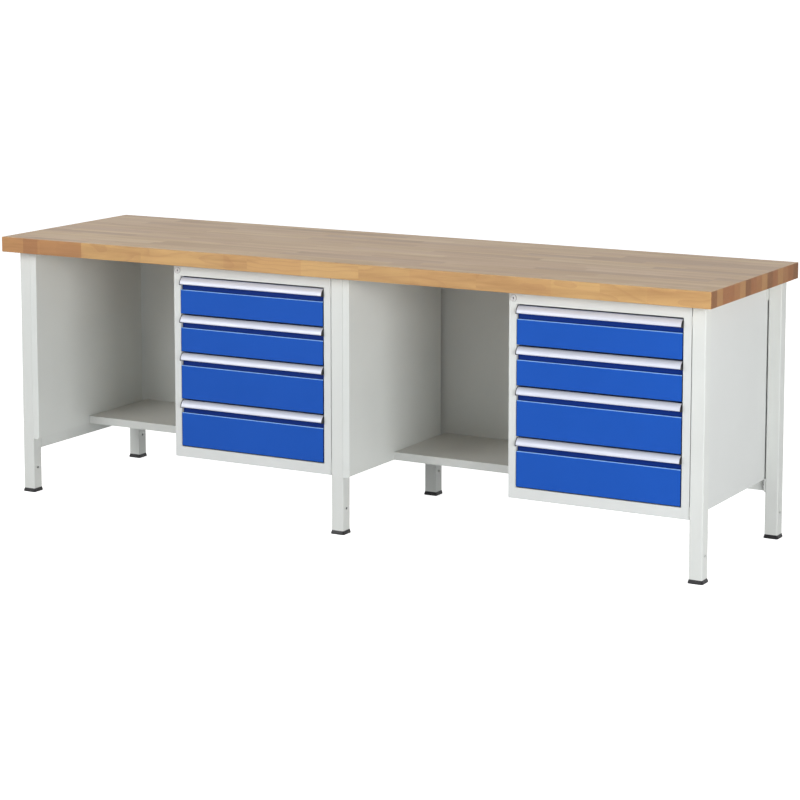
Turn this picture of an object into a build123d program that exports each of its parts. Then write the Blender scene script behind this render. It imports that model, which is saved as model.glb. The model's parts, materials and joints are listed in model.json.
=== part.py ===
from build123d import *
import math
import os

# Workbench with two hanging drawer cabinets, in millimetres.
# X runs along the bench, Y from its front to its back, Z up. The origin is on the floor below the middle.

# --- Overall size and worktop ---
LENGTH = 2500.0
DEPTH = 700.0
HEIGHT = 860.0
TOP_THICKNESS = 50.0
TOP_EDGE_RADIUS = 2.0
UNDERSIDE = HEIGHT - TOP_THICKNESS

# --- Welded frame of square tube ---
TUBE = 42.0
TUBE_WALL = 2.0
TUBE_CORNER = 3.0
TUBE_BORE = TUBE - 2 * TUBE_WALL
BORE_CORNER = TUBE_CORNER - TUBE_WALL
SIDE_OVERHANG = 35.0
FRONT_OVERHANG = 50.0
REAR_OVERHANG = 3.0
OUTER_LEG_X = LENGTH / 2 - SIDE_OVERHANG - TUBE / 2
LEG_COLUMNS = {"left": -OUTER_LEG_X, "middle": 0.0, "right": OUTER_LEG_X}
FRONT_LEG_Y = -DEPTH / 2 + FRONT_OVERHANG + TUBE / 2
REAR_LEG_Y = DEPTH / 2 - REAR_OVERHANG - TUBE / 2
FRAME_FRONT = FRONT_LEG_Y - TUBE / 2
REAR_LEG_FRONT = REAR_LEG_Y - TUBE / 2
LEG_HOLE_Z = 81.0
LEG_HOLE_RADIUS = 4.25
LOWER_RAIL_Z = 165.0

# --- Foot caps ---
FOOT_HEIGHT = 12.0
FOOT_SOLE_HEIGHT = 4.0
FOOT_FLARE = 3.0
PLUG_HEIGHT = 20.0
PLUG_CLEARANCE = 0.2

# --- Rear stretchers, each with a plate at both ends ---
STRETCHER_DEPTH = 20.0
STRETCHER_Y = 332.0
END_PLATE = 4.0
STRETCHER_BOLT_Y = 313.0

# --- Folded sheet metal ---
SHEET = 1.5
FIT_GAP = 0.5

# --- Bay side panels, folded trays that open towards the legs ---
SIDE_PANEL_THICKNESS = 23.0
SIDE_PANEL_BACK = 295.0
SIDE_PANEL_LOW = 187.0
SIDE_PANEL_HIGH = 806.0
FLANGE_DROP = 5.0
CORNER_RELIEF = 4.0

# --- Back panels, folded trays that open to the rear ---
BACK_PANEL_FRONT = 320.0
BACK_PANEL_DEPTH = 20.0
BACK_PANEL_LOW = 187.0
BACK_PANEL_HIGH = 808.0
BACK_PANEL_LEFT_GAP = 0.5
BACK_PANEL_RIGHT_GAP = 4.5
BACK_SCREW_Y = 331.0
BACK_SCREW_Z = (199.0, 794.0)

# --- Half-depth shelves, folded trays that open downwards ---
SHELF_FRONT = -20.0
SHELF_BACK = BACK_PANEL_FRONT - FIT_GAP
SHELF_LOW = 187.0
SHELF_THICKNESS = 25.0
SHELF_SCREW_Y = (30.0, 200.0)
SHELF_SCREW_Z = 198.0

# --- Cabinets ---
CABINET_WIDTH = 580.0
CABINET_LEG_GAP = 2.0
CABINET_FRONT = -298.0
CABINET_BACK = 303.0
CABINET_LOW = 185.0
OPENING_LOW = 218.5
OPENING_HIGH = 771.5
OPENING_MARGIN = 24.5
OPENING_RETURN = 20.0
CABINET_X = {}
for side, column in (("left", "middle"), ("right", "right")):
    CABINET_X[side] = LEG_COLUMNS[column] - TUBE / 2 - CABINET_LEG_GAP - CABINET_WIDTH
PANEL_X = {"left": LEG_COLUMNS["left"] + TUBE / 2, "middle": LEG_COLUMNS["middle"] + TUBE / 2}
BAYS = {"left": "left", "right": "middle"}

# --- Brackets between the cabinets and the legs beside them ---
BRACKET_HEIGHT = 34.0
BRACKET_LENGTH = 54.0
BRACKET_TOP_Z = 760.0
BRACKET_LOW_Z = 207.0

# --- Uprights that carry the drawer slides ---
UPRIGHT_WIDTH = 30.0
UPRIGHT_LOW = 190.0
UPRIGHT_HIGH = 800.0
UPRIGHT_WALL_GAP = 0.2
UPRIGHT_FRONTS = (-262.0, 230.0)

# --- Drawers, from the top down ---
FRONT_HEIGHTS = (117.0, 117.0, 148.0, 148.0)
FRONT_GAP = 5.0
FRONT_SIDE_GAP = 1.5
FRONT_WIDTH = CABINET_WIDTH - 2 * (OPENING_MARGIN + FRONT_SIDE_GAP)
FRONT_PROUD = 3.0
FRONT_FACE = CABINET_FRONT - FRONT_PROUD
FRONT_DEPTH = 18.0
RECESS_HEIGHT = 17.5
RECESS_DEPTH = 11.0
BEND_RADIUS = 1.0

# --- Grip strips: a hooded extrusion with a plastic cap at each end ---
HOOD_HEIGHT = 22.0
HOOD_TOP_BACK = 9.0
HOOD_LIP = 8.0
GRIP_WALL = 2.0
GRIP_HEIGHT = 24.0
CAP_THICKNESS = 2.5
CAP_GAP = 0.1
HOOD_REACH = HOOD_TOP_BACK + HOOD_LIP
HOOD_RADIUS = (HOOD_REACH**2 + HOOD_HEIGHT**2) / (2 * HOOD_REACH)

# --- Trays and their three-part telescopic slides ---
TRAY_MARGIN = 37.0
TRAY_DEPTH = 560.0
TRAY_RAISE = 12.0
TRAY_DROP = 20.0
RAIL_WALL = 1.2
RAIL_FRONT = -279.0
RAIL_LENGTH = 550.0
RAIL_RAISE = 26.0
OUTER_RAIL_DEPTH = 8.0
OUTER_RAIL_HEIGHT = 42.0
MIDDLE_RAIL_OFFSET = 2.0
MIDDLE_RAIL_DEPTH = 7.5
MIDDLE_RAIL_HEIGHT = 36.0
INNER_RAIL_DEPTH = 7.0
INNER_RAIL_HEIGHT = 28.0
INNER_RAIL_GAP = 0.3

# --- Cylinder locks and their bars ---
LOCK_INSET = 14.0
LOCK_Z = 788.0
LOCK_FLANGE_RADIUS = 10.3
LOCK_FLANGE_PROUD = 2.0
LOCK_BARREL_RADIUS = 9.0
LOCK_HOLE_CLEARANCE = 0.2
LOCK_LENGTH = 26.0
CORE_RADIUS = 6.95
CORE_CLEARANCE = 0.05
CORE_RECESS = 0.4
CORE_TAIL = 2.0
KEY_SLOT_WIDTH = 1.6
KEY_SLOT_HEIGHT = 9.0
KEY_SLOT_DEPTH = 12.0
CAM_LENGTH = 18.0
CAM_RADIUS = 4.0
CAM_THICKNESS = 2.5
BAR_WIDTH = 16.0
BAR_THICKNESS = 2.5
BAR_LOW = 224.0
BAR_HIGH = 776.0
BAR_CLEARANCE = 0.3
BAR_NOTCH_HEIGHT = 14.0
BAR_NOTCH_DEPTH = 6.0
GUIDE_HEIGHT = 14.0
GUIDE_CENTRES = (300.0, 700.0)

# --- Fasteners ---
BOLT_RADIUS = 4.0
BOLT_HOLE_RADIUS = 4.2
BOLT_HEAD_WIDTH = 13.0
BOLT_HEAD_HEIGHT = 5.3
BOLT_LENGTH = 12.0
SCREW_RADIUS = 2.5
SCREW_HOLE_RADIUS = 2.6
SCREW_HEAD_RADIUS = 4.75
SCREW_HEAD_HEIGHT = 3.0
SCREW_HEAD_TAPER = 12.0
SCREW_LENGTH = 10.0

CORNER = (Align.MIN, Align.MIN, Align.MIN)


def save(piece, name):
    """Label a finished piece and write its STEP file."""
    piece.part.label = name
    export_step(piece.part, f"parts/{name}.step")


def make_worktop():
    """The solid wood top with softly rounded edges."""
    with BuildPart() as worktop:
        with BuildSketch(Plane.XY.offset(UNDERSIDE)):
            Rectangle(LENGTH, DEPTH)
        extrude(amount=TOP_THICKNESS)
        fillet(worktop.edges(), TOP_EDGE_RADIUS)
    return worktop


def make_leg(x, y, holes):
    """A square tube drilled along X; holes lists (side, y, z, radius) of the one-sided fastener holes."""
    with BuildPart() as leg:
        with BuildSketch(Plane.XY.offset(FOOT_HEIGHT)):
            with Locations((x, y)):
                RectangleRounded(TUBE, TUBE, TUBE_CORNER)
                RectangleRounded(TUBE_BORE, TUBE_BORE, BORE_CORNER, mode=Mode.SUBTRACT)
        extrude(amount=UNDERSIDE - FOOT_HEIGHT)
        with BuildSketch(Plane.YZ.offset(x)):
            with Locations((y, LEG_HOLE_Z)):
                Circle(LEG_HOLE_RADIUS)
        extrude(amount=TUBE, both=True, mode=Mode.SUBTRACT)
        for hole_side, hole_y, hole_z, radius in holes:
            with BuildSketch(Plane.YZ.offset(x)):
                with Locations((hole_y, hole_z)):
                    Circle(radius)
            extrude(amount=hole_side * TUBE, mode=Mode.SUBTRACT)
    return leg


def front_leg_holes(column):
    """Bolt holes that face the cabinet on the left of a front leg."""
    if column == "left":
        return []
    return [(-1, FRONT_LEG_Y, z, BOLT_HOLE_RADIUS) for z in (BRACKET_LOW_Z, BRACKET_TOP_Z)]


def rear_leg_holes(column):
    """Holes for the stretcher bolt and the back panel screws on each side that faces a bay."""
    holes = []
    for hole_side in {"left": (1,), "middle": (-1, 1), "right": (-1,)}[column]:
        holes.append((hole_side, STRETCHER_BOLT_Y, LOWER_RAIL_Z, BOLT_HOLE_RADIUS))
        for z in BACK_SCREW_Z:
            holes.append((hole_side, BACK_SCREW_Y, z, SCREW_HOLE_RADIUS))
    return holes


def make_foot_caps():
    """Six moulded caps: a flared sole under each tube and a plug inside it."""
    sole = TUBE + 2 * FOOT_FLARE
    plug = TUBE_BORE - 2 * PLUG_CLEARANCE
    with BuildPart() as caps:
        for x in LEG_COLUMNS.values():
            for y in (FRONT_LEG_Y, REAR_LEG_Y):
                with BuildSketch(Plane.XY):
                    with Locations((x, y)):
                        RectangleRounded(sole, sole, TUBE_CORNER + FOOT_FLARE)
                extrude(amount=FOOT_SOLE_HEIGHT)
                with BuildSketch(Plane.XY.offset(FOOT_SOLE_HEIGHT)):
                    with Locations((x, y)):
                        RectangleRounded(sole, sole, TUBE_CORNER + FOOT_FLARE)
                with BuildSketch(Plane.XY.offset(FOOT_HEIGHT)):
                    with Locations((x, y)):
                        RectangleRounded(TUBE, TUBE, TUBE_CORNER)
                loft()
                with BuildSketch(Plane.XY.offset(FOOT_HEIGHT)):
                    with Locations((x, y)):
                        RectangleRounded(plug, plug, BORE_CORNER)
                extrude(amount=PLUG_HEIGHT)
    return caps


def make_traverses(columns, z):
    """Tubes that join the front and rear legs of the named leg pairs."""
    with BuildPart() as traverses:
        for column in columns:
            with BuildSketch(Plane.XZ.offset(-REAR_LEG_FRONT)):
                with Locations((LEG_COLUMNS[column], z)):
                    RectangleRounded(TUBE, TUBE, TUBE_CORNER)
                    RectangleRounded(TUBE_BORE, TUBE_BORE, BORE_CORNER, mode=Mode.SUBTRACT)
            extrude(amount=REAR_LEG_FRONT - FRONT_LEG_Y - TUBE / 2)
    return traverses


def stretcher_ends(bay):
    """The faces of the two legs beside a bay, left then right."""
    columns = {"left": ("left", "middle"), "right": ("middle", "right")}[bay]
    return LEG_COLUMNS[columns[0]] + TUBE / 2, LEG_COLUMNS[columns[1]] - TUBE / 2


def make_rear_stretchers():
    """Two flat tubes along the back, each welded to a drilled plate at both ends."""
    bore_depth = STRETCHER_DEPTH - 2 * TUBE_WALL
    with BuildPart() as stretchers:
        for bay in BAYS:
            left, right = stretcher_ends(bay)
            with BuildSketch(Plane.YZ.offset(left + END_PLATE)):
                with Locations((STRETCHER_Y, LOWER_RAIL_Z)):
                    RectangleRounded(STRETCHER_DEPTH, TUBE, TUBE_CORNER)
                    RectangleRounded(bore_depth, TUBE_BORE, BORE_CORNER, mode=Mode.SUBTRACT)
            extrude(amount=right - left - 2 * END_PLATE)
            for plate_x in (left, right - END_PLATE):
                with BuildSketch(Plane.YZ.offset(plate_x)):
                    with Locations((REAR_LEG_Y, LOWER_RAIL_Z)):
                        RectangleRounded(TUBE, TUBE, TUBE_CORNER)
                    with Locations((STRETCHER_BOLT_Y, LOWER_RAIL_Z)):
                        Circle(BOLT_HOLE_RADIUS, mode=Mode.SUBTRACT)
                extrude(amount=END_PLATE)
    return stretchers


def make_side_panel(x):
    """A folded tray beside a leg pair; its front flange hangs lower and has relieved corners."""
    face_x = x + SIDE_PANEL_THICKNESS
    width = SIDE_PANEL_BACK - FRAME_FRONT
    height = SIDE_PANEL_HIGH - SIDE_PANEL_LOW
    with BuildPart() as panel:
        with Locations((x, FRAME_FRONT, SIDE_PANEL_LOW)):
            Box(SIDE_PANEL_THICKNESS, width, height, align=CORNER)
        offset(amount=-SHEET, openings=panel.faces().sort_by(Axis.X)[0])
        with Locations((x, FRAME_FRONT, SIDE_PANEL_LOW - FLANGE_DROP)):
            Box(SIDE_PANEL_THICKNESS - CORNER_RELIEF, SHEET, FLANGE_DROP, align=CORNER)
        with Locations((face_x - CORNER_RELIEF, FRAME_FRONT, SIDE_PANEL_HIGH - CORNER_RELIEF)):
            Box(CORNER_RELIEF, CORNER_RELIEF, CORNER_RELIEF, align=CORNER, mode=Mode.SUBTRACT)
        with BuildSketch(Plane.YZ.offset(face_x)):
            with Locations(*[(y, SHELF_SCREW_Z) for y in SHELF_SCREW_Y]):
                Circle(SCREW_HOLE_RADIUS)
        extrude(amount=-2 * SHEET, mode=Mode.SUBTRACT)
    return panel


def back_panel_span(bay):
    """The left and right ends of the panel behind a bay and its cabinet."""
    left_leg_x, right_leg_x = stretcher_ends(bay)
    return left_leg_x + BACK_PANEL_LEFT_GAP, right_leg_x - BACK_PANEL_RIGHT_GAP


def make_back_panels():
    """Folded trays that fill the frame behind each bay and its cabinet, from leg to leg."""
    height = BACK_PANEL_HIGH - BACK_PANEL_LOW
    with BuildPart() as panels:
        for bay in BAYS:
            left, right = back_panel_span(bay)
            inner = (right - left - 2 * SHEET, BACK_PANEL_DEPTH - SHEET, height - 2 * SHEET)
            with Locations((left, BACK_PANEL_FRONT, BACK_PANEL_LOW)):
                Box(right - left, BACK_PANEL_DEPTH, height, align=CORNER)
            with Locations((left + SHEET, BACK_PANEL_FRONT + SHEET, BACK_PANEL_LOW + SHEET)):
                Box(*inner, align=CORNER, mode=Mode.SUBTRACT)
            for z in BACK_SCREW_Z:
                for hole_x in (left, right - SHEET):
                    with BuildSketch(Plane.YZ.offset(hole_x)):
                        with Locations((BACK_SCREW_Y, z)):
                            Circle(SCREW_HOLE_RADIUS)
                    extrude(amount=SHEET, mode=Mode.SUBTRACT)
    return panels


def shelf_span(bay):
    """The left and right ends of a bay's shelf."""
    left = PANEL_X[BAYS[bay]] + SIDE_PANEL_THICKNESS + FIT_GAP
    return left, CABINET_X[bay] - FIT_GAP


def make_shelf(bay):
    """A folded shelf, open below, with screw holes in its two end flanges."""
    left, right = shelf_span(bay)
    with BuildPart() as shelf:
        with Locations((left, SHELF_FRONT, SHELF_LOW)):
            Box(right - left, SHELF_BACK - SHELF_FRONT, SHELF_THICKNESS, align=CORNER)
        offset(amount=-SHEET, openings=shelf.faces().sort_by(Axis.Z)[0])
        for flange_x in (left, right - SHEET):
            with BuildSketch(Plane.YZ.offset(flange_x)):
                with Locations(*[(y, SHELF_SCREW_Z) for y in SHELF_SCREW_Y]):
                    Circle(SCREW_HOLE_RADIUS)
            extrude(amount=SHEET, mode=Mode.SUBTRACT)
    return shelf


def make_cabinet(x):
    """A closed sheet housing with a framed drawer opening, a lock hole and two bar guides."""
    depth = CABINET_BACK - CABINET_FRONT
    height = UNDERSIDE - CABINET_LOW
    opening_width = CABINET_WIDTH - 2 * OPENING_MARGIN
    opening_height = OPENING_HIGH - OPENING_LOW
    opening_middle = (x + CABINET_WIDTH / 2, (OPENING_LOW + OPENING_HIGH) / 2)
    guide_y = UPRIGHT_FRONTS[0] - 2 * BAR_CLEARANCE - BAR_THICKNESS - SHEET
    with BuildPart() as cabinet:
        with Locations((x, CABINET_FRONT, CABINET_LOW)):
            Box(CABINET_WIDTH, depth, height, align=CORNER)
        with Locations((x + SHEET, CABINET_FRONT + SHEET, CABINET_LOW + SHEET)):
            inner = (CABINET_WIDTH - 2 * SHEET, depth - 2 * SHEET, height - 2 * SHEET)
            Box(*inner, align=CORNER, mode=Mode.SUBTRACT)
        with BuildSketch(Plane.XZ.offset(-CABINET_FRONT)):
            with Locations(opening_middle):
                Rectangle(opening_width + 2 * SHEET, opening_height + 2 * SHEET)
        extrude(amount=-OPENING_RETURN)
        with BuildSketch(Plane.XZ.offset(-CABINET_FRONT)):
            with Locations(opening_middle):
                Rectangle(opening_width, opening_height)
        extrude(amount=-OPENING_RETURN, mode=Mode.SUBTRACT)
        with BuildSketch(Plane.XZ.offset(-CABINET_FRONT)):
            with Locations((x + LOCK_INSET, LOCK_Z)):
                Circle(LOCK_BARREL_RADIUS + LOCK_HOLE_CLEARANCE)
        extrude(amount=-SHEET, mode=Mode.SUBTRACT)
        for z in GUIDE_CENTRES:
            with Locations((x + SHEET, guide_y, z - GUIDE_HEIGHT / 2)):
                Box(OPENING_MARGIN - SHEET, SHEET, GUIDE_HEIGHT, align=CORNER)
        with BuildSketch(Plane.YZ.offset(x)):
            with Locations(*[(y, SHELF_SCREW_Z) for y in SHELF_SCREW_Y]):
                Circle(SCREW_HOLE_RADIUS)
        extrude(amount=SHEET, mode=Mode.SUBTRACT)
        with BuildSketch(Plane.YZ.offset(x + CABINET_WIDTH)):
            with Locations((FRONT_LEG_Y, BRACKET_LOW_Z), (FRONT_LEG_Y, BRACKET_TOP_Z)):
                Circle(BOLT_HOLE_RADIUS)
        extrude(amount=-SHEET, mode=Mode.SUBTRACT)
    return cabinet


def make_leg_brackets():
    """Spacer plates that tie each cabinet's right wall to the legs beside it."""
    rear_middle = REAR_LEG_Y + TUBE / 2 - BRACKET_LENGTH / 2
    front_middle = FRAME_FRONT + BRACKET_LENGTH / 2
    places = ((front_middle, BRACKET_LOW_Z), (front_middle, BRACKET_TOP_Z), (rear_middle, BRACKET_TOP_Z))
    with BuildPart() as brackets:
        for x in CABINET_X.values():
            with BuildSketch(Plane.YZ.offset(x + CABINET_WIDTH)):
                with Locations(*places):
                    Rectangle(BRACKET_LENGTH, BRACKET_HEIGHT)
                with Locations((FRONT_LEG_Y, BRACKET_LOW_Z), (FRONT_LEG_Y, BRACKET_TOP_Z)):
                    Circle(BOLT_HOLE_RADIUS, mode=Mode.SUBTRACT)
            extrude(amount=CABINET_LEG_GAP)
    return brackets


def slide_sides(x):
    """The two sides of a cabinet as (face of the upright, direction into the drawer)."""
    return (x + OPENING_MARGIN, 1), (x + CABINET_WIDTH - OPENING_MARGIN, -1)


def make_rail_uprights():
    """Eight C-section posts on the cabinet walls, their backs level with the opening's edge."""
    reach = OPENING_MARGIN - SHEET - UPRIGHT_WALL_GAP
    with BuildPart() as uprights:
        for x in CABINET_X.values():
            for face_x, inward in slide_sides(x):
                for y in UPRIGHT_FRONTS:
                    with BuildSketch(Plane.XY.offset(UPRIGHT_LOW)):
                        with Locations((face_x - inward * reach / 2, y + UPRIGHT_WIDTH / 2)):
                            Rectangle(reach, UPRIGHT_WIDTH)
                        with Locations((face_x - inward * (reach + SHEET) / 2, y + UPRIGHT_WIDTH / 2)):
                            Rectangle(reach - SHEET, UPRIGHT_WIDTH - 2 * SHEET, mode=Mode.SUBTRACT)
                    extrude(amount=UPRIGHT_HIGH - UPRIGHT_LOW)
    return uprights


def make_channel(back_x, reach, height, z):
    """A C-section slide rail along Y: its back at back_x, its mouth at back_x + reach."""
    wall = math.copysign(RAIL_WALL, reach)
    with BuildPart() as channel:
        with BuildSketch(Plane.XZ.offset(-RAIL_FRONT - RAIL_LENGTH)):
            with Locations((back_x + reach / 2, z)):
                Rectangle(abs(reach), height)
            with Locations((back_x + (reach + wall) / 2, z)):
                Rectangle(abs(reach) - RAIL_WALL, height - 2 * RAIL_WALL, mode=Mode.SUBTRACT)
        extrude(amount=RAIL_LENGTH)
    return channel.part


def drawer_levels():
    """The bottom and top of each drawer front, from the top drawer down."""
    levels = []
    top = OPENING_HIGH - FRONT_GAP
    for height in FRONT_HEIGHTS:
        levels.append((top - height, top))
        top -= height + FRONT_GAP
    return levels


def rail_height(bottom):
    """The middle height of the slides of the drawer whose front starts at bottom."""
    return bottom + TRAY_RAISE + RAIL_RAISE


def make_outer_rails():
    """Sixteen fixed slide rails, screwed to the uprights."""
    rails = []
    for x in CABINET_X.values():
        for face_x, inward in slide_sides(x):
            for bottom, top in drawer_levels():
                z = rail_height(bottom)
                rails.append(make_channel(face_x, inward * OUTER_RAIL_DEPTH, OUTER_RAIL_HEIGHT, z))
    with BuildPart() as outer_rails:
        add(rails)
    return outer_rails


def make_middle_rails(x, bottom):
    """The two rails of one drawer that travel half as far as the drawer."""
    rails = []
    for face_x, inward in slide_sides(x):
        back_x = face_x + inward * MIDDLE_RAIL_OFFSET
        reach = inward * MIDDLE_RAIL_DEPTH
        rails.append(make_channel(back_x, reach, MIDDLE_RAIL_HEIGHT, rail_height(bottom)))
    with BuildPart() as middle_rails:
        add(rails)
    return middle_rails


def make_front(x, bottom, top):
    """A folded drawer front, open behind, with a finger recess stepped back under the grip."""
    left = x + OPENING_MARGIN + FRONT_SIDE_GAP
    ledge = top - HOOD_HEIGHT - RECESS_HEIGHT
    back = FRONT_FACE + FRONT_DEPTH
    web = FRONT_FACE + RECESS_DEPTH
    outline = [(FRONT_FACE, bottom), (FRONT_FACE, ledge), (web, ledge), (web, top), (back, top), (back, bottom)]
    with BuildPart() as front:
        with BuildSketch(Plane.YZ.offset(left)):
            with BuildLine():
                Polyline(*outline, close=True)
            make_face()
        extrude(amount=FRONT_WIDTH)
        offset(amount=-SHEET, openings=front.faces().sort_by(Axis.Y)[-1])
        fillet(front.edges().group_by(Axis.Y)[0], BEND_RADIUS)
    return front


def make_grip(x, top):
    """The hooded grip strip of one drawer front and the plastic caps on its two ends."""
    left = x + OPENING_MARGIN + FRONT_SIDE_GAP
    back = FRONT_FACE + RECESS_DEPTH
    shoulder = FRONT_FACE + HOOD_TOP_BACK
    lip = FRONT_FACE - HOOD_LIP
    low = top - GRIP_HEIGHT
    lip_z = top - HOOD_HEIGHT
    centre = (lip + HOOD_RADIUS, lip_z)
    inner_radius = HOOD_RADIUS - GRIP_WALL
    outer_end = math.degrees(math.acos((shoulder - centre[0]) / HOOD_RADIUS))
    inner_end = math.degrees(math.acos((shoulder - centre[0]) / inner_radius))
    inner_top = lip_z + inner_radius * math.sin(math.radians(inner_end))
    with BuildPart() as grip:
        with BuildSketch(Plane.YZ.offset(left + CAP_THICKNESS + CAP_GAP)):
            with BuildLine():
                Polyline((lip + GRIP_WALL, lip_z), (lip, lip_z))
                CenterArc(centre, HOOD_RADIUS, 180, outer_end - 180)
                Polyline((shoulder, top), (back, top), (back, low), (shoulder, low), (shoulder, inner_top))
                CenterArc(centre, inner_radius, inner_end, 180 - inner_end)
            make_face()
        extrude(amount=FRONT_WIDTH - 2 * (CAP_THICKNESS + CAP_GAP))
        for cap_x in (left, left + FRONT_WIDTH - CAP_THICKNESS):
            with BuildSketch(Plane.YZ.offset(cap_x)):
                with BuildLine():
                    CenterArc(centre, HOOD_RADIUS, 180, outer_end - 180)
                    Polyline((shoulder, top), (back, top), (back, low), (lip, low), (lip, lip_z))
                make_face()
            extrude(amount=CAP_THICKNESS)
    return grip


def make_tray(x, bottom, top):
    """An open sheet tray with its two slide rails alongside."""
    width = CABINET_WIDTH - 2 * TRAY_MARGIN
    low = bottom + TRAY_RAISE
    with BuildPart() as tray:
        with Locations((x + TRAY_MARGIN, FRONT_FACE + FRONT_DEPTH, low)):
            Box(width, TRAY_DEPTH, top - TRAY_DROP - low, align=CORNER)
        offset(amount=-SHEET, openings=tray.faces().sort_by(Axis.Z)[-1])
    rails = []
    for edge_x, inward in ((x + TRAY_MARGIN, 1), (x + CABINET_WIDTH - TRAY_MARGIN, -1)):
        back_x = edge_x - inward * INNER_RAIL_GAP
        rails.append(make_channel(back_x, -inward * INNER_RAIL_DEPTH, INNER_RAIL_HEIGHT, rail_height(bottom)))
    with BuildPart() as assembly:
        add(tray.part)
        add(rails)
    return assembly


def make_lock_housings():
    """The two flanged barrels of the cylinder locks."""
    with BuildPart() as housings:
        for x in CABINET_X.values():
            with BuildSketch(Plane.XZ.offset(-CABINET_FRONT)):
                with Locations((x + LOCK_INSET, LOCK_Z)):
                    Circle(LOCK_FLANGE_RADIUS)
            extrude(amount=LOCK_FLANGE_PROUD)
            with BuildSketch(Plane.XZ.offset(-CABINET_FRONT)):
                with Locations((x + LOCK_INSET, LOCK_Z)):
                    Circle(LOCK_BARREL_RADIUS)
            extrude(amount=-LOCK_LENGTH)
            with BuildSketch(Plane.XZ.offset(-CABINET_FRONT)):
                with Locations((x + LOCK_INSET, LOCK_Z)):
                    Circle(CORE_RADIUS + CORE_CLEARANCE)
            extrude(amount=LOCK_LENGTH, both=True, mode=Mode.SUBTRACT)
    return housings


def make_lock_core(x):
    """A lock core with a key slot in its face and a hanging cam on its tail."""
    face = CABINET_FRONT - LOCK_FLANGE_PROUD + CORE_RECESS
    tail = CABINET_FRONT + LOCK_LENGTH + CORE_TAIL
    axis_x = x + LOCK_INSET
    with BuildPart() as core:
        with BuildSketch(Plane.XZ.offset(-face)):
            with Locations((axis_x, LOCK_Z)):
                Circle(CORE_RADIUS)
        extrude(amount=face - tail)
        with BuildSketch(Plane.XZ.offset(-face)):
            with Locations((axis_x, LOCK_Z)):
                Rectangle(KEY_SLOT_WIDTH, KEY_SLOT_HEIGHT)
        extrude(amount=-KEY_SLOT_DEPTH, mode=Mode.SUBTRACT)
        with BuildSketch(Plane.XZ.offset(-tail)):
            with Locations((axis_x, LOCK_Z - CAM_LENGTH / 2)):
                SlotOverall(CAM_LENGTH + 2 * CAM_RADIUS, 2 * CAM_RADIUS, rotation=90)
        extrude(amount=-CAM_THICKNESS)
    return core


def make_lock_bar(x):
    """A flat bar that slides upright behind the lock, notched beside each drawer slide."""
    back = UPRIGHT_FRONTS[0] - BAR_CLEARANCE
    height = BAR_HIGH - BAR_LOW
    notch_x = x + LOCK_INSET + (BAR_WIDTH - BAR_NOTCH_DEPTH) / 2
    with BuildPart() as bar:
        with BuildSketch(Plane.XZ.offset(-back)):
            with Locations((x + LOCK_INSET, BAR_LOW + height / 2)):
                Rectangle(BAR_WIDTH, height)
            with Locations(*[(notch_x, rail_height(bottom)) for bottom, top in drawer_levels()]):
                Rectangle(BAR_NOTCH_DEPTH, BAR_NOTCH_HEIGHT, mode=Mode.SUBTRACT)
        extrude(amount=BAR_THICKNESS)
    return bar


def bolt_places():
    """Bolts as (x under the head, y, z, direction of the shank)."""
    places = []
    for bay in BAYS:
        left, right = stretcher_ends(bay)
        places.append((left + END_PLATE, STRETCHER_BOLT_Y, LOWER_RAIL_Z, -1))
        places.append((right - END_PLATE, STRETCHER_BOLT_Y, LOWER_RAIL_Z, 1))
    for x in CABINET_X.values():
        for z in (BRACKET_LOW_Z, BRACKET_TOP_Z):
            places.append((x + CABINET_WIDTH - SHEET, FRONT_LEG_Y, z, 1))
    return places


def screw_places():
    """Screws as (x under the head, y, z, direction of the shank)."""
    places = []
    for bay in BAYS:
        left, right = back_panel_span(bay)
        for z in BACK_SCREW_Z:
            places.append((left + SHEET, BACK_SCREW_Y, z, -1))
            places.append((right - SHEET, BACK_SCREW_Y, z, 1))
        left, right = shelf_span(bay)
        for y in SHELF_SCREW_Y:
            places.append((left + SHEET, y, SHELF_SCREW_Z, -1))
            places.append((right - SHEET, y, SHELF_SCREW_Z, 1))
    return places


def make_frame_bolts():
    """Hexagon bolts through the stretcher plates and the cabinet brackets into the legs."""
    with BuildPart() as bolts:
        for x, y, z, direction in bolt_places():
            with BuildSketch(Plane.YZ.offset(x)):
                with Locations((y, z)):
                    RegularPolygon(BOLT_HEAD_WIDTH / 2, 6, major_radius=False)
            extrude(amount=-direction * BOLT_HEAD_HEIGHT)
            with BuildSketch(Plane.YZ.offset(x)):
                with Locations((y, z)):
                    Circle(BOLT_RADIUS)
            extrude(amount=direction * BOLT_LENGTH)
    return bolts


def make_panel_screws():
    """Pan-head screws of the back panels and the shelves."""
    with BuildPart() as screws:
        for x, y, z, direction in screw_places():
            with BuildSketch(Plane.YZ.offset(x)):
                with Locations((y, z)):
                    Circle(SCREW_HEAD_RADIUS)
            extrude(amount=-direction * SCREW_HEAD_HEIGHT, taper=SCREW_HEAD_TAPER)
            with BuildSketch(Plane.YZ.offset(x)):
                with Locations((y, z)):
                    Circle(SCREW_RADIUS)
            extrude(amount=direction * SCREW_LENGTH)
    return screws


os.makedirs("parts", exist_ok=True)

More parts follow.
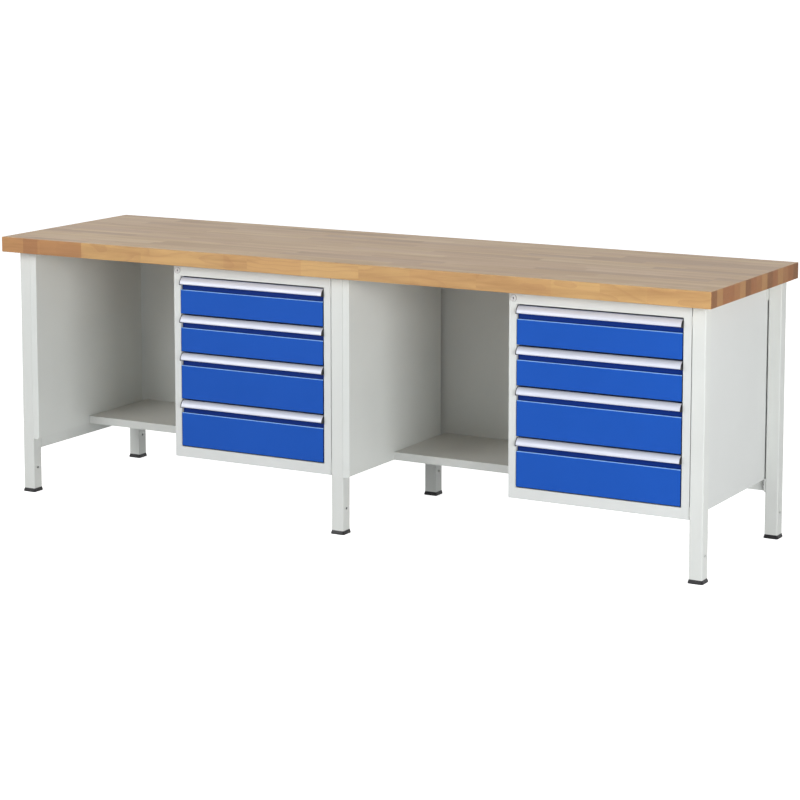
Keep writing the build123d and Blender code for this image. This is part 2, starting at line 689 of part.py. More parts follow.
save(make_worktop(), "worktop")
for column, column_x in LEG_COLUMNS.items():
    save(make_leg(column_x, FRONT_LEG_Y, front_leg_holes(column)), f"front_{column}_leg")
    save(make_leg(column_x, REAR_LEG_Y, rear_leg_holes(column)), f"rear_{column}_leg")
save(make_foot_caps(), "foot_caps")
save(make_traverses(("left", "middle"), UNDERSIDE - TUBE / 2), "upper_traverses")
save(make_traverses(("left",), LOWER_RAIL_Z), "lower_traverse")
save(make_rear_stretchers(), "rear_stretchers")
for column, panel_x in PANEL_X.items():
    save(make_side_panel(panel_x), f"{column}_side_panel")
save(make_back_panels(), "back_panels")
save(make_rail_uprights(), "rail_uprights")
save(make_outer_rails(), "outer_rails")
save(make_leg_brackets(), "leg_brackets")
save(make_frame_bolts(), "frame_bolts")
save(make_panel_screws(), "panel_screws")
save(make_lock_housings(), "lock_housings")
for side, cabinet_x in CABINET_X.items():
    save(make_shelf(side), f"{side}_shelf")
    save(make_cabinet(cabinet_x), f"{side}_cabinet")
    save(make_lock_core(cabinet_x), f"{side}_lock_core")
    save(make_lock_bar(cabinet_x), f"{side}_lock_bar")
    for number, (bottom, top) in enumerate(drawer_levels(), start=1):
        name = f"{side}_drawer_{number}"
        save(make_front(cabinet_x, bottom, top), f"{name}_front")
        save(make_grip(cabinet_x, top), f"{name}_grip")
        save(make_tray(cabinet_x, bottom, top), f"{name}_tray")
        save(make_middle_rails(cabinet_x, bottom), f"{name}_rails")
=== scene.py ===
import json
import math

import bmesh
import bpy
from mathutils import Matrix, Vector

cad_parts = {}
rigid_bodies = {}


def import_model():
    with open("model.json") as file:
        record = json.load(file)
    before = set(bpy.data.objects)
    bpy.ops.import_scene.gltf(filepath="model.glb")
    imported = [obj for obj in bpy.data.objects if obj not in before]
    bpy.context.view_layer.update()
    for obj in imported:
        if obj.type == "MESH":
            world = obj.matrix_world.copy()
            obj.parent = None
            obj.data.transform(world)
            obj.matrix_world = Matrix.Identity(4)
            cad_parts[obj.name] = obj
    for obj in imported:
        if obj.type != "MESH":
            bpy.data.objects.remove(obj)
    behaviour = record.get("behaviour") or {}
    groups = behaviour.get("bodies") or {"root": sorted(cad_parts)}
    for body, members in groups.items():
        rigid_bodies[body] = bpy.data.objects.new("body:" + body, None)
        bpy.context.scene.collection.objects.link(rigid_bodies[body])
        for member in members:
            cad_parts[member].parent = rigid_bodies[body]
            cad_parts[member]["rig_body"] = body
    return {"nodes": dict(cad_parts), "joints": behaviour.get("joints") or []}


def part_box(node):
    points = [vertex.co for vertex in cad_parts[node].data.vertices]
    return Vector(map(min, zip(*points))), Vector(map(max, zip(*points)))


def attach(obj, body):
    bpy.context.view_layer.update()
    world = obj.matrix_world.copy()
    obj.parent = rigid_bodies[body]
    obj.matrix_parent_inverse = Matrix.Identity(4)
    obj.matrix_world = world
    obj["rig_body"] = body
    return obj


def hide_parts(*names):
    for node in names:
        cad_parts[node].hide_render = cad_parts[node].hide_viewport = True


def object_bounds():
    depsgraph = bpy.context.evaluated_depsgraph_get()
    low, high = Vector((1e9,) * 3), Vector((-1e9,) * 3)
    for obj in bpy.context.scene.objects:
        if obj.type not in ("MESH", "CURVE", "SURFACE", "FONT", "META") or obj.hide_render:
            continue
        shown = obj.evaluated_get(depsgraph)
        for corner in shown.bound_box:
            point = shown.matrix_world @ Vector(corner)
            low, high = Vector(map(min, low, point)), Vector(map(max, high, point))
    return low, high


# Workbench with two drawer cabinets: looks, floor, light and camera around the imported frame. Metres, Z up.

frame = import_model()
nodes = frame["nodes"]
scene = bpy.context.scene
cad_low, cad_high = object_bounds()
SLOT_OF_NODE = {name: node.data.materials[0].name for name, node in nodes.items()}
BODY_OF_NODE = {name: node["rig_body"] for name, node in nodes.items()}

SIDES = ("left", "right")
DRAWERS = [f"{side}_drawer_{number}" for side in SIDES for number in (1, 2, 3, 4)]


# ---------------------------------------------------------------- camera, floor and light

CAMERA_AZIMUTH = math.radians(29.191)
CAMERA_PITCH = math.radians(7.396)
CAMERA_PLACE = Vector((3.8486, -6.7903, 1.9013))
CAMERA_LENS = 111.9
CAMERA_SHIFT = -0.2
SENSOR_WIDTH = 36.0

FLOOR_SIZE = 400.0
FLOOR_COLOUR = (0.82, 0.82, 0.82, 1)
FLOOR_GLOW = 0.02
FLOOR_GLOW_SEEN = 0.85
OVERHEAD_LIGHT = 0.24
BACK_LIGHT = 0.95
FRONT_LIGHT = 0.32
FRONT_TURN = math.radians(35)
FRONT_DIRECTION = (math.sin(FRONT_TURN), -math.cos(FRONT_TURN), 0)
FRONT_EDGE = -0.35
BAND_TOP = 0.75
WHITE = (1, 1, 1, 1)

# name, place, target, size, power in watts, whether glossy surfaces mirror it
SOFTBOXES = (
    ("right_light", (4.15, -2.8, 1.3), (0, 0, 0.6), (2.4, 1.3), 134, False),
    ("left_light", (-1.9, -3.6, 2.2), (0, 0, 0.5), (1.6, 1.6), 68, True),
    ("rear_light", (-2.4, 4.4, 0.45), (0, 0, 0.45), (3.0, 0.5), 80, False),
)


def make_camera():
    """A long lens at the right front, looking slightly down, with a small shift."""
    data = bpy.data.cameras.new("camera")
    data.sensor_width = SENSOR_WIDTH
    data.lens = CAMERA_LENS
    data.shift_y = CAMERA_SHIFT
    data.clip_end = FLOOR_SIZE
    camera = bpy.data.objects.new("camera", data)
    camera.location = CAMERA_PLACE
    camera.rotation_euler = (math.pi / 2 - CAMERA_PITCH, 0, CAMERA_AZIMUTH)
    scene.collection.objects.link(camera)
    scene.camera = camera


def make_floor():
    """A plain pale floor that reaches the horizon, and glows white for the camera alone."""
    shape = bmesh.new()
    bmesh.ops.create_grid(shape, x_segments=1, y_segments=1, size=FLOOR_SIZE / 2)
    mesh = bpy.data.meshes.new("floor")
    shape.to_mesh(mesh)
    shape.free()
    floor = bpy.data.objects.new("floor", mesh)
    floor.location.z = cad_low.z
    scene.collection.objects.link(floor)
    material = bpy.data.materials.new("floor")
    material.use_nodes = True
    tree = material.node_tree
    shader = tree.nodes["Principled BSDF"]
    shader.inputs["Base Color"].default_value = FLOOR_COLOUR
    shader.inputs["Roughness"].default_value = 1.0
    shader.inputs["Specular IOR Level"].default_value = 0.0
    shader.inputs["Emission Color"].default_value = WHITE
    path = tree.nodes.new("ShaderNodeLightPath")
    glow = tree.nodes.new("ShaderNodeMapRange")
    glow.inputs["To Min"].default_value = FLOOR_GLOW
    glow.inputs["To Max"].default_value = FLOOR_GLOW_SEEN
    tree.links.new(path.outputs["Is Camera Ray"], glow.inputs["Value"])
    tree.links.new(glow.outputs["Result"], shader.inputs["Emission Strength"])
    mesh.materials.append(material)


def make_world():
    """A studio with a band of light at the horizon, dimmer in front and overhead, seen as plain white."""
    world = bpy.data.worlds.new("studio")
    scene.world = world
    world.use_nodes = True
    tree = world.node_tree
    tree.nodes.clear()

    def added(kind, **settings):
        node = tree.nodes.new(kind)
        for key, value in settings.items():
            setattr(node, key, value)
        return node

    place = added("ShaderNodeTexCoord")
    split = added("ShaderNodeSeparateXYZ")
    toward = added("ShaderNodeVectorMath", operation="DOT_PRODUCT")
    toward.inputs[1].default_value = FRONT_DIRECTION
    front = added("ShaderNodeMapRange", interpolation_type="SMOOTHSTEP")
    front.inputs["From Min"].default_value = FRONT_EDGE
    front.inputs["To Min"].default_value = BACK_LIGHT
    front.inputs["To Max"].default_value = FRONT_LIGHT
    band = added("ShaderNodeMapRange", interpolation_type="SMOOTHSTEP")
    band.inputs["From Max"].default_value = BAND_TOP
    band.inputs["To Min"].default_value = 1.0
    band.inputs["To Max"].default_value = 0.0
    strength = added("ShaderNodeMath", operation="MULTIPLY_ADD")
    strength.inputs[2].default_value = OVERHEAD_LIGHT
    light = added("ShaderNodeBackground")
    seen = added("ShaderNodeBackground")
    path = added("ShaderNodeLightPath")
    mix = added("ShaderNodeMixShader")
    output = added("ShaderNodeOutputWorld")
    for start, end in (
        (place.outputs["Generated"], split.inputs[0]),
        (place.outputs["Generated"], toward.inputs[0]),
        (toward.outputs["Value"], front.inputs["Value"]),
        (split.outputs["Z"], band.inputs["Value"]),
        (front.outputs["Result"], strength.inputs[0]),
        (band.outputs["Result"], strength.inputs[1]),
        (strength.outputs[0], light.inputs["Strength"]),
        (path.outputs["Is Camera Ray"], mix.inputs[0]),
        (light.outputs[0], mix.inputs[1]),
        (seen.outputs[0], mix.inputs[2]),
        (mix.outputs[0], output.inputs["Surface"]),
    ):
        tree.links.new(start, end)
    light.inputs["Color"].default_value = WHITE
    seen.inputs["Color"].default_value = WHITE


def make_softbox(name, place, target, size, power, mirrored):
    """A large soft area light that faces a target, and shows in glossy surfaces if mirrored."""
    data = bpy.data.lights.new(name, "AREA")
    data.shape = "RECTANGLE"
    data.size, data.size_y = size
    data.energy = power
    light = bpy.data.objects.new(name, data)
    light.location = place
    light.rotation_euler = (Vector(target) - Vector(place)).to_track_quat("-Z", "Y").to_euler()
    light.visible_camera = False
    light.visible_glossy = mirrored
    scene.collection.objects.link(light)


make_camera()
make_floor()
make_world()
for softbox in SOFTBOXES:
    make_softbox(*softbox)


# ---------------------------------------------------------------- material tools

# the mix node's sockets by index, because several share a name
MIX_FACTOR, MIX_VALUE_A, MIX_VALUE_B, MIX_COLOUR_A, MIX_COLOUR_B = 0, 2, 3, 6, 7
MIX_COLOUR_RESULT = 2
# most of a noise lies in this range
NOISE_RANGE = (0.3, 0.7)


class Coat:
    """Builds one node material. Each method adds a node and returns its output socket."""

    def __init__(self, name):
        self.data = bpy.data.materials.new(name)
        self.data.use_nodes = True
        self.tree = self.data.node_tree
        self.shader = self.tree.nodes["Principled BSDF"]
        self.place = self.node("ShaderNodeTexCoord", "Object")

    def node(self, kind, output=0, inputs=None, **settings):
        made = self.tree.nodes.new(kind)
        for key, value in settings.items():
            setattr(made, key, value)
        for key, value in (inputs or {}).items():
            self.feed(made.inputs[key], value)
        return made.outputs[output]

    def feed(self, socket, value):
        """Links a socket, or sets a plain value."""
        if isinstance(value, bpy.types.NodeSocket):
            self.tree.links.new(value, socket)
        else:
            socket.default_value = value

    def set(self, **values):
        """Feeds the shader's own sockets, written with _ for a space."""
        for key, value in values.items():
            self.feed(self.shader.inputs[key.replace("_", " ")], value)

    def split(self, value, kind="ShaderNodeSeparateXYZ"):
        """The three outputs that a vector, or a colour, comes apart into."""
        made = self.tree.nodes.new(kind)
        self.feed(made.inputs[0], value)
        return list(made.outputs)

    def facing(self):
        """The three parts of the direction that the face points in."""
        return self.split(self.node("ShaderNodeNewGeometry", "True Normal"))

    def maths(self, operation, a, b=0.0, c=0.0):
        return self.node("ShaderNodeMath", inputs={0: a, 1: b, 2: c}, operation=operation)

    def stretched(self, place, scale, offset=(0.0, 0.0, 0.0)):
        """The place times a scale for each axis, plus an offset."""
        return self.node(
            "ShaderNodeVectorMath", inputs={0: place, 1: scale, 2: offset}, operation="MULTIPLY_ADD"
        )

    def noise(self, place, scale, detail=2.0, roughness=0.5, distortion=0.0):
        values = {"Vector": place, "Scale": scale, "Detail": detail}
        values.update({"Roughness": roughness, "Distortion": distortion})
        return self.node("ShaderNodeTexNoise", "Fac", values)

    def spread(self, value, low, high, to_low=0.0, to_high=1.0):
        """Maps a value from one range to another, smoothly and clamped."""
        values = {"Value": value, "From Min": low, "From Max": high, "To Min": to_low, "To Max": to_high}
        return self.node("ShaderNodeMapRange", "Result", values, interpolation_type="SMOOTHSTEP")

    def uneven(self, noise, low, high):
        """A noise mapped from the range where most of it lies."""
        return self.spread(noise, *NOISE_RANGE, low, high)

    def ramp(self, value, stops, interpolation="LINEAR"):
        """A colour ramp with (position, colour) stops."""
        made = self.tree.nodes.new("ShaderNodeValToRGB")
        made.color_ramp.interpolation = interpolation
        elements = made.color_ramp.elements
        while len(elements) < len(stops):
            elements.new(0.5)
        for element, (position, colour) in zip(elements, stops):
            element.position = position
            element.color = (*colour, 1)
        self.feed(made.inputs[0], value)
        return made.outputs["Color"]

    def blend(self, factor, a, b, mode="MIX"):
        """Mixes two colours."""
        made = self.tree.nodes.new("ShaderNodeMix")
        made.data_type = "RGBA"
        made.blend_type = mode
        self.feed(made.inputs[MIX_FACTOR], factor)
        for index, colour in ((MIX_COLOUR_A, a), (MIX_COLOUR_B, b)):
            is_linked = isinstance(colour, bpy.types.NodeSocket)
            self.feed(made.inputs[index], colour if is_linked else (*colour, 1))
        return made.outputs[MIX_COLOUR_RESULT]

    def bump(self, height, distance, strength=1.0, under=None):
        """A bump whose height of one stands as far proud as distance, in metres."""
        values = {"Height": height, "Distance": distance, "Strength": strength}
        if under is not None:
            values["Normal"] = under
        return self.node("ShaderNodeBump", "Normal", values)


def shade(colour, factor):
    """A colour, lighter or darker."""
    return tuple(channel * factor for channel in colour)


def shades(colour, low, high, darker, lighter):
    """Two ramp stops, with the colour times darker at low and times lighter at high."""
    return ((low, shade(colour, darker)), (high, shade(colour, lighter)))


def greys(stops, reach=1.0):
    """Ramp stops from (place, value) pairs, with the places as shares of reach."""
    return [(place / reach, (value, value, value)) for place, value in stops]


# ---------------------------------------------------------------- materials

STAVE_ROWS = 16
SHORTEST_STAVE = 0.30
STAVE_SPREAD = 0.34
ROW_SHIFT = 3.0
ROW_START = 5.0
FINGER_PITCH = 0.0075
FINGER_DEPTH = 0.009
GLUE_LINE = (0.007, 0.0175)
JOINT_LINE = (0.0002, 0.0006)

STAVE_OFFSET = 7.0
FIBRE_SCALE = (2.2, 26.0, 26.0)
BROAD_SCALE = (0.9, 7.0, 7.0)
WANDER_SCALE = (3.0, 9.0, 9.0)
FLECK_SCALE = (190.0, 1500.0, 1500.0)
FLECK_RANGE = (0.62, 0.72)
RING_SPACING = 0.0042
RING_RANGE = (0.55, 1.0)
RING_WANDER = 0.03
HEART_SPREAD = 0.16
HEART_ASIDE = 0.08
HEART_BELOW = 0.1
GRAIN_RELIEF = 0.00008
FLECK_RELIEF = -0.8
SEAM_RELIEF = 0.0001
WOOD_ROUGHNESS = (0.46, 0.36)
LACQUER_WEIGHT = 0.12
LACQUER_ROUGHNESS = 0.3

BEECH_DARK = (0.40, 0.185, 0.075)
BEECH_RED = (0.55, 0.29, 0.115)
BEECH_MID = (0.62, 0.365, 0.145)
BEECH_PALE = (0.70, 0.455, 0.185)
BEECH_TONES = ((0.0, BEECH_DARK), (0.2, BEECH_RED), (0.55, BEECH_MID), (1.0, BEECH_PALE))
STREAK_TONES = ((0.28, (0.70, 0.62, 0.54)), (0.60, (1.08, 1.08, 1.06)))
BROAD_TONES = ((0.30, (0.90, 0.87, 0.84)), (0.70, (1.05, 1.05, 1.04)))
RING_SHARE = 0.26
FLECK_SHARE = 0.20
END_RING_SHARE = 0.30
SEAM_SHARE = 0.35
END_RING_BROWN = shade(BEECH_DARK, 0.45)
SEAM_BROWN = shade(BEECH_DARK, 0.6)
# a paler tone on the upward faces: painted sheen
TOP_SHEEN_BEECH = (0.77, 0.525, 0.27)
TOP_SHEEN_SHARE = 0.5
FACE_TURN = (0.6, 0.8)

END_BROWN = (0.230, 0.096, 0.030)
END_RED = (0.300, 0.120, 0.040)
END_MID = (0.335, 0.150, 0.052)
END_TAN = (0.405, 0.212, 0.078)
END_BLOCKS = (
    END_BROWN, END_TAN, END_RED, END_RED, END_MID, END_TAN, END_BROWN, END_RED,
    END_MID, END_TAN, END_BROWN, END_RED, END_TAN, END_MID, END_RED, END_BROWN,
)
# the front row's staves: where each starts along the top, and its tone
FRONT_ROW = (
    (0.0, 0.22), (0.033, 0.02), (0.056, 0.15), (0.127, 0.86), (0.345, 0.66), (0.46, 0.92), (0.61, 0.74),
    (0.80, 0.95), (0.92, 0.80),
)


def make_beech():
    """Edge-glued beech: rows of finger-jointed staves with rings, flecks and darker end grain."""
    coat = Coat("beech_staves")
    low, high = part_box("worktop")
    x, y, z = coat.split(coat.place)

    # rows, and the staves along each row
    across = coat.maths("MULTIPLY_ADD", y, STAVE_ROWS / (high.y - low.y), STAVE_ROWS / 2)
    row = coat.maths("FLOOR", across)
    row_seed = coat.node("ShaderNodeTexWhiteNoise", "Color", {"W": row}, noise_dimensions="1D")
    row_shift, row_length, _ = coat.split(row_seed, "ShaderNodeSeparateColor")
    length = coat.maths("MULTIPLY_ADD", row_length, STAVE_SPREAD, SHORTEST_STAVE)
    finger = coat.maths("PINGPONG", y, FINGER_PITCH / 2)
    jagged = coat.maths("MULTIPLY_ADD", finger, FINGER_DEPTH / (FINGER_PITCH / 2), x)
    shifted = coat.maths("ADD", jagged, coat.maths("MULTIPLY_ADD", row_shift, ROW_SHIFT, ROW_START))
    along = coat.maths("DIVIDE", shifted, length)
    stave = coat.maths("FLOOR", along)

    # each stave's tone and heart, with the front row's tones from its own list
    key = coat.node("ShaderNodeCombineXYZ", inputs={0: row, 1: stave})
    stave_seed = coat.node("ShaderNodeTexWhiteNoise", "Color", {"Vector": key}, noise_dimensions="3D")
    tone, ring_y, ring_z = coat.split(stave_seed, "ShaderNodeSeparateColor")
    length_share = coat.maths("MULTIPLY_ADD", x, 1 / (high.x - low.x), 0.5)
    front_tone = coat.ramp(length_share, greys(FRONT_ROW), "CONSTANT")
    is_front = coat.maths("LESS_THAN", row, 0.5)
    tone = coat.node(
        "ShaderNodeMix", inputs={MIX_FACTOR: is_front, MIX_VALUE_A: tone, MIX_VALUE_B: front_tone}
    )

    # grain
    offset = coat.node("ShaderNodeVectorMath", inputs={0: stave_seed, 3: STAVE_OFFSET}, operation="SCALE")
    streaks = coat.noise(coat.stretched(coat.place, FIBRE_SCALE, offset), 1.0, 5.0, 0.6, distortion=0.6)
    broad = coat.noise(coat.stretched(coat.place, BROAD_SCALE, offset), 1.0, 2.0, 0.5, distortion=0.4)
    wander = coat.noise(coat.stretched(coat.place, WANDER_SCALE, offset), 1.0)
    flecks = coat.noise(coat.stretched(coat.place, FLECK_SCALE, offset), 1.0, detail=1.0)
    flecks = coat.spread(flecks, *FLECK_RANGE)

    # growth rings round a heart below the board
    heart_y = coat.maths("MULTIPLY_ADD", ring_y, HEART_SPREAD, coat.maths("SUBTRACT", y, HEART_ASIDE))
    heart_height = coat.maths("MULTIPLY_ADD", ring_z, HEART_SPREAD, low.z - HEART_BELOW)
    heart_z = coat.maths("SUBTRACT", z, heart_height)
    from_heart = coat.node("ShaderNodeCombineXYZ", inputs={1: heart_y, 2: heart_z})
    radius = coat.node("ShaderNodeVectorMath", "Value", {0: from_heart}, operation="LENGTH")
    warped = coat.maths("MULTIPLY_ADD", wander, RING_WANDER, radius)
    ring = coat.maths("FRACT", coat.maths("DIVIDE", warped, RING_SPACING))
    ring_line = coat.spread(ring, *RING_RANGE)

    # long grain
    broad_tone = coat.ramp(broad, BROAD_TONES)
    wood = coat.blend(1.0, coat.ramp(tone, BEECH_TONES), coat.ramp(streaks, STREAK_TONES), "MULTIPLY")
    wood = coat.blend(1.0, wood, broad_tone, "MULTIPLY")
    wood = coat.blend(coat.maths("MULTIPLY", ring_line, RING_SHARE), wood, BEECH_DARK)
    wood = coat.blend(coat.maths("MULTIPLY", flecks, FLECK_SHARE), wood, BEECH_DARK)

    # the paler top, a painted sheen, and the end grain
    facing_x, _, facing_z = coat.facing()
    wood = coat.blend(coat.spread(facing_z, *FACE_TURN, to_high=TOP_SHEEN_SHARE), wood, TOP_SHEEN_BEECH)
    end_stops = [(index / STAVE_ROWS, colour) for index, colour in enumerate(END_BLOCKS)]
    end_wood = coat.ramp(coat.maths("DIVIDE", across, STAVE_ROWS), end_stops, "CONSTANT")
    end_wood = coat.blend(1.0, end_wood, broad_tone, "MULTIPLY")
    end_wood = coat.blend(coat.maths("MULTIPLY", ring_line, END_RING_SHARE), end_wood, END_RING_BROWN)
    wood = coat.blend(coat.spread(coat.maths("ABSOLUTE", facing_x), *FACE_TURN), wood, end_wood)

    # glue lines between rows, and finger joints between staves
    glue = coat.spread(coat.maths("PINGPONG", across, 0.5), *GLUE_LINE, 1.0, 0.0)
    joint_edge = coat.maths("MULTIPLY", coat.maths("PINGPONG", along, 0.5), length)
    joint = coat.spread(joint_edge, *JOINT_LINE, 1.0, 0.0)
    joint = coat.maths("MULTIPLY", joint, coat.maths("SUBTRACT", 1.0, is_front))
    seam = coat.maths("MAXIMUM", glue, joint)
    wood = coat.blend(coat.maths("MULTIPLY", seam, SEAM_SHARE), wood, SEAM_BROWN)

    rough = coat.uneven(streaks, *WOOD_ROUGHNESS)
    grain_height = coat.maths("ADD", streaks, coat.maths("MULTIPLY", flecks, FLECK_RELIEF))
    relief = coat.bump(grain_height, GRAIN_RELIEF, strength=0.6)
    relief = coat.bump(coat.maths("MULTIPLY", seam, -1.0), SEAM_RELIEF, strength=0.5, under=relief)
    coat.set(Base_Color=wood, Roughness=rough, Normal=relief)
    coat.set(Coat_Weight=LACQUER_WEIGHT, Coat_Roughness=LACQUER_ROUGHNESS)
    return coat.data


CLOUD_SCALE = 3.0
MOTTLE_SCALE = 420.0
MOTTLE_SHARE = 0.25
PEEL_SCALE = 900.0


def make_powder_coat(name, colour, roughness=0.42, peel=0.00003, mottle=0.03, paint_light_and_shade=None, gloss=None):
    """Baked powder coat: orange peel and faint mottling. An optional function of (coat, paint) may paint
    highlights and shade over it.
    """
    coat = Coat(name)
    cloud = coat.noise(coat.place, CLOUD_SCALE, detail=3.0, roughness=0.6)
    grain = coat.noise(coat.place, MOTTLE_SCALE, detail=2.0, roughness=0.6)
    patch = coat.maths("MULTIPLY_ADD", grain, MOTTLE_SHARE, cloud)
    paint = coat.ramp(patch, shades(colour, 0.35, 0.85, 1 - mottle, 1 + mottle))
    # painted highlights and painted shade go over the paint, where given
    if paint_light_and_shade:
        paint = paint_light_and_shade(coat, paint)
    rough = coat.uneven(cloud, roughness - 0.05, roughness + 0.06)
    peel_height = coat.noise(coat.place, PEEL_SCALE, detail=1.5, roughness=0.55)
    relief = coat.bump(peel_height, peel, strength=0.6)
    coat.set(Base_Color=paint, Roughness=rough, Normal=relief)
    if gloss is not None:
        coat.set(Specular_IOR_Level=gloss)
    return coat.data


FRONT_BLUE = (0.009, 0.080, 0.42)
# painted highlight along the bend of each front's ledge
HIGHLIGHT_BLUE = (0.30, 0.55, 1.0)
# painted shade in the finger recess under the grip
RECESS_SHADE_BLUE = (0.001, 0.024, 0.19)
# painted shade on the front's sides and underside, in the gap round it
GAP_SHADE_BLUE = (0.001, 0.008, 0.045)
FRONT_GLOSS = 0.14
# how far behind the face the painted highlight and the painted shade in the recess start and are full
HIGHLIGHT_DEPTH = (0.0001, 0.0006)
RECESS_DEPTH = (0.0026, 0.0040)
# how far a face turns that way where the painted highlight (upward) and the painted shade (sideways,
# downward) start and are full
UPWARD = (0.05, 0.3)
SIDEWAYS = (0.40, 0.80)
DOWNWARD = (-0.40, -0.80)


def paint_front_light_and_shade(coat, paint):
    """Paints a highlight along the ledge's bend, and paints shade into the finger recess and onto the sides
    and underside in the gap.
    """
    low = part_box(f"{DRAWERS[0]}_front")[0]
    y = coat.split(coat.place)[1]
    facing_x, _, facing_z = coat.facing()
    behind_face = coat.spread(y, *(low.y + depth for depth in HIGHLIGHT_DEPTH))
    # painted highlight on the upward-facing bend of the ledge
    painted_highlight = coat.maths("MULTIPLY", behind_face, coat.spread(facing_z, *UPWARD))
    # painted shade that darkens the finger recess
    recess = coat.spread(y, *(low.y + depth for depth in RECESS_DEPTH))
    side = coat.spread(coat.maths("ABSOLUTE", facing_x), *SIDEWAYS)
    underside = coat.spread(facing_z, *DOWNWARD)
    paint = coat.blend(painted_highlight, paint, HIGHLIGHT_BLUE)
    paint = coat.blend(recess, paint, RECESS_SHADE_BLUE)
    # painted shade on the sides and underside, in the gap round the front
    for shaded_in_gap in (side, underside):
        paint = coat.blend(shaded_in_gap, paint, GAP_SHADE_BLUE)
    return paint


# the lock's face: radius in metres, and how bright it is there, with painted shade in the keyway, round the
# core and at the edge, and a painted highlight on the rim
LOCK_SHADE_AND_HIGHLIGHT_RINGS = (
    (0.0, 0.04), (0.0016, 0.10), (0.0026, 0.80), (0.0060, 0.90), (0.0068, 0.16), (0.0073, 0.97),
    (0.0090, 0.97), (0.0096, 0.30),
)
LOCK_REACH = 0.01
SCRATCH_SCALE = (2400.0, 300.0, 300.0)
SCRATCH_TONES = ((0.3, (0.93, 0.93, 0.94)), (0.7, (1.0, 1.0, 1.0)))
SCRATCH_DEPTH = 0.00001
LOCK_ROUGHNESS = (0.14, 0.22)
LOCK_METALLIC = 0.35


def make_lock_chrome():
    """Polished chrome with painted shade in the keyway, round the core and at the edge, and a painted
    highlight on the rim.
    """
    coat = Coat("polished_chrome")
    x, _, z = coat.split(coat.place)
    distances = []
    for side in SIDES:
        joint = next(entry for entry in frame["joints"] if entry["name"] == f"{side}_lock_turn")
        away_x = coat.maths("SUBTRACT", x, joint["pos_m"][0])
        away_z = coat.maths("SUBTRACT", z, joint["pos_m"][2])
        squares = coat.maths("MULTIPLY_ADD", away_x, away_x, coat.maths("MULTIPLY", away_z, away_z))
        distances.append(coat.maths("SQRT", squares))
    reach = coat.maths("DIVIDE", coat.maths("MINIMUM", *distances), LOCK_REACH)
    # painted shade in the keyway, round the core and at the edge, and a painted highlight on the rim
    rings = coat.ramp(reach, greys(LOCK_SHADE_AND_HIGHLIGHT_RINGS, LOCK_REACH))
    scratches = coat.noise(coat.stretched(coat.place, SCRATCH_SCALE), 1.0, detail=3.0)
    tone = coat.blend(1.0, rings, coat.ramp(scratches, SCRATCH_TONES), "MULTIPLY")
    rough = coat.uneven(scratches, *LOCK_ROUGHNESS)
    relief = coat.bump(scratches, SCRATCH_DEPTH, strength=0.4)
    coat.set(Base_Color=tone, Roughness=rough, Normal=relief, Metallic=LOCK_METALLIC)
    return coat.data


ACROSS_LINES = 900.0
ALONG_LINES = 9.0
LINE_DEPTH = 0.00002
SHEEN_SCALE = 9.0
SPANGLE_SCALE = 260.0
SPANGLE_RANGE = (0.1, 0.9)
DENT_SCALE = 140.0
DENT_DEPTH = 0.00003
ZINC_METALLIC = 0.9
TEXTURE_SCALE = 1400.0
TEXTURE_DEPTH = 0.00004
SMUDGE_SCALE = 30.0


def make_brushed_metal(name, colour, roughness, direction, metallic):
    """Metal with fine drawn lines along one axis."""
    coat = Coat(name)
    scale = [ACROSS_LINES] * 3
    scale[direction] = ALONG_LINES
    lines = coat.noise(coat.stretched(coat.place, tuple(scale)), 1.0, detail=3.0, roughness=0.6)
    sheen = coat.noise(coat.place, SHEEN_SCALE)
    tone = coat.ramp(lines, shades(colour, *NOISE_RANGE, 0.92, 1.04))
    rough = coat.uneven(sheen, roughness - 0.04, roughness + 0.06)
    relief = coat.bump(lines, LINE_DEPTH, strength=0.5)
    coat.set(Base_Color=tone, Roughness=rough, Normal=relief, Metallic=metallic)
    return coat.data


def make_zinc(name, colour, roughness):
    """Zinc-plated steel with a faint spangle."""
    coat = Coat(name)
    spangle = coat.node("ShaderNodeTexVoronoi", "Color", {"Vector": coat.place, "Scale": SPANGLE_SCALE})
    value = coat.node("ShaderNodeRGBToBW", inputs={0: spangle})
    tone = coat.ramp(value, shades(colour, *SPANGLE_RANGE, 0.9, 1.06))
    rough = coat.spread(value, *SPANGLE_RANGE, roughness - 0.05, roughness + 0.08)
    relief = coat.bump(coat.noise(coat.place, DENT_SCALE), DENT_DEPTH, strength=0.4)
    coat.set(Base_Color=tone, Roughness=rough, Normal=relief, Metallic=ZINC_METALLIC)
    return coat.data


def make_plastic(name, colour, roughness):
    """Moulded plastic with a fine eroded texture."""
    coat = Coat(name)
    texture = coat.noise(coat.place, TEXTURE_SCALE, detail=2.0, roughness=0.6)
    smudges = coat.noise(coat.place, SMUDGE_SCALE)
    tone = coat.ramp(smudges, shades(colour, *NOISE_RANGE, 0.85, 1.2))
    rough = coat.uneven(texture, roughness - 0.06, roughness + 0.08)
    relief = coat.bump(texture, TEXTURE_DEPTH, strength=0.6)
    coat.set(Base_Color=tone, Roughness=rough, Normal=relief)
    return coat.data


